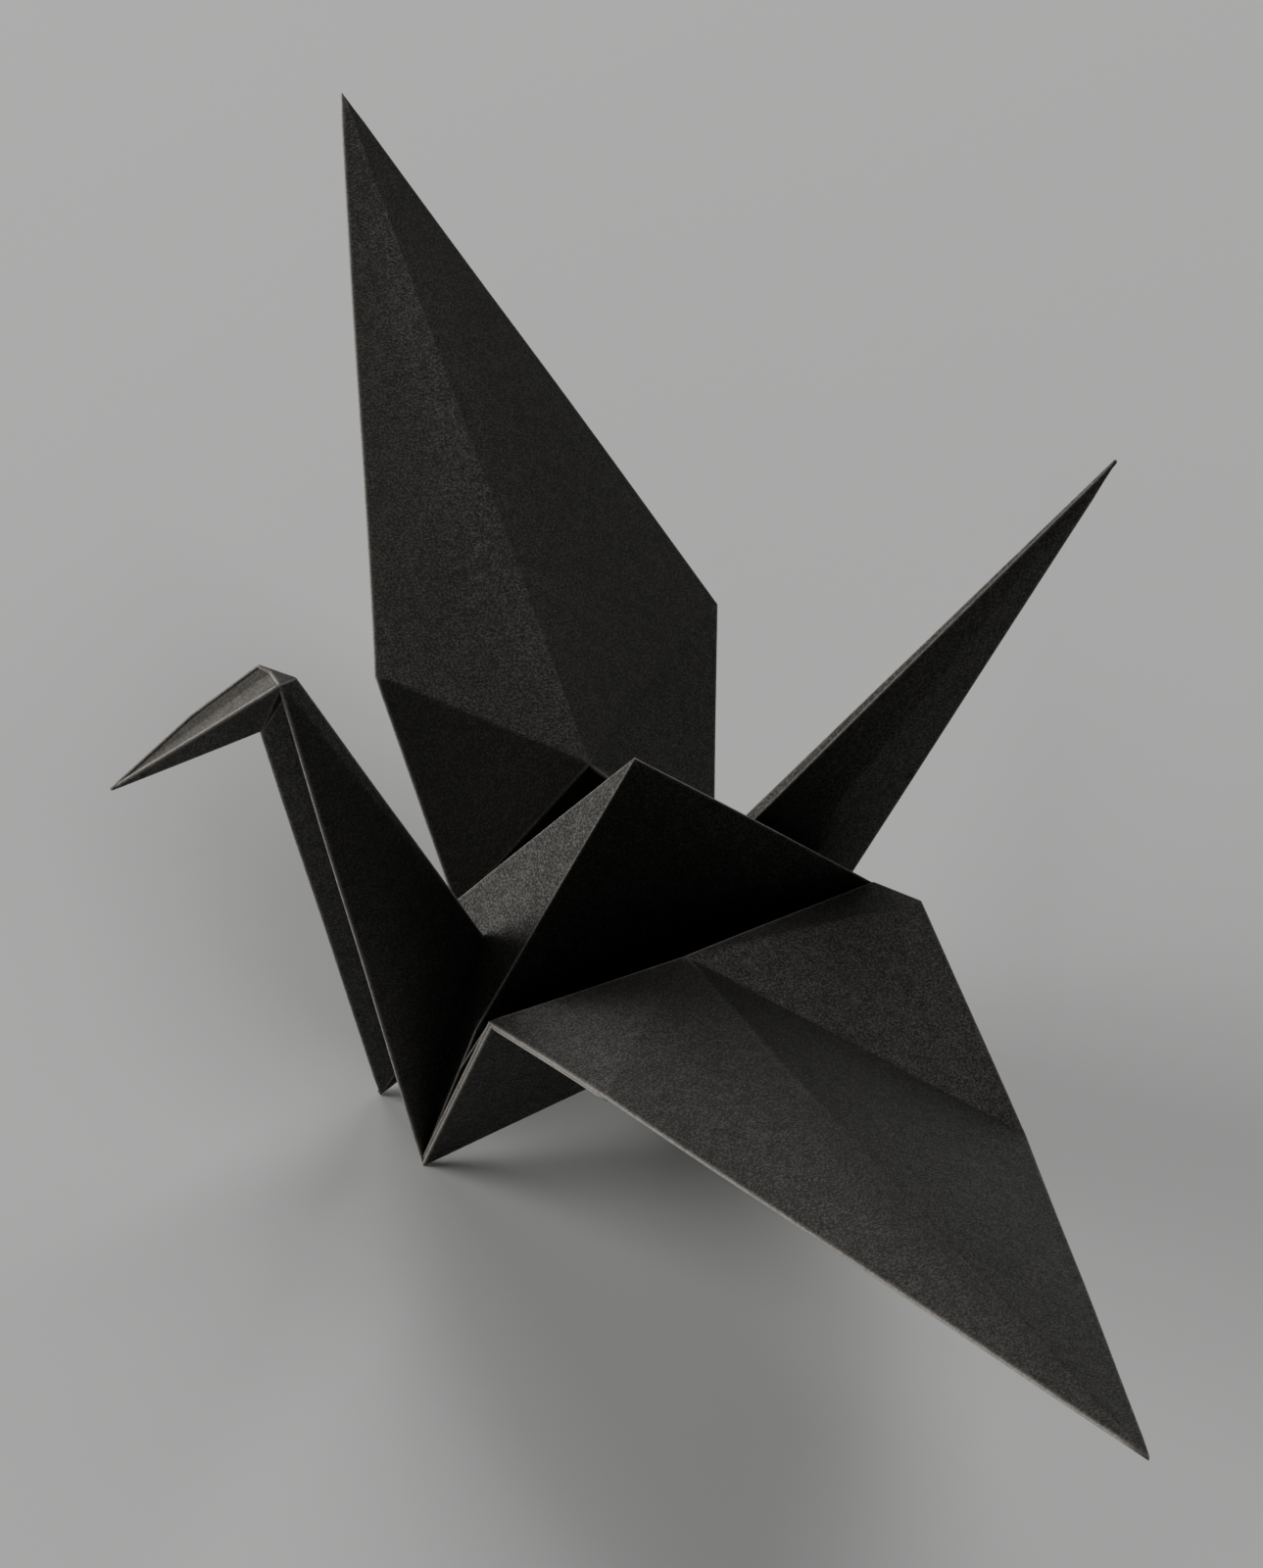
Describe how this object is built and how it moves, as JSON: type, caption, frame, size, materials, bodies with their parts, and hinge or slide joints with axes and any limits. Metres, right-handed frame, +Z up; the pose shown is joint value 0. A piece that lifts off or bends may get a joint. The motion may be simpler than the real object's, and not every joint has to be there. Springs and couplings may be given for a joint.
{
  "type": "origami crane",
  "caption": "Folded paper crane with spread wings, an upright neck with a bent beaked head and a raised pointed tail; a decorative figure that stands by itself.",
  "frame": {"origin": "on the ground, in the middle plane between the wings, under the middle of the length from beak to tail", "axes": "+X from the head towards the tail, +Y towards the far wing, +Z up"},
  "size_m": [0.079, 0.1438, 0.0569],
  "materials": {
    "black_paper": "matte, black on both sides, with a fine felt-like grain"
  },
  "bodies": {
    "root": {"folded_sheet": "black_paper"}
  },
  "joints": []
}
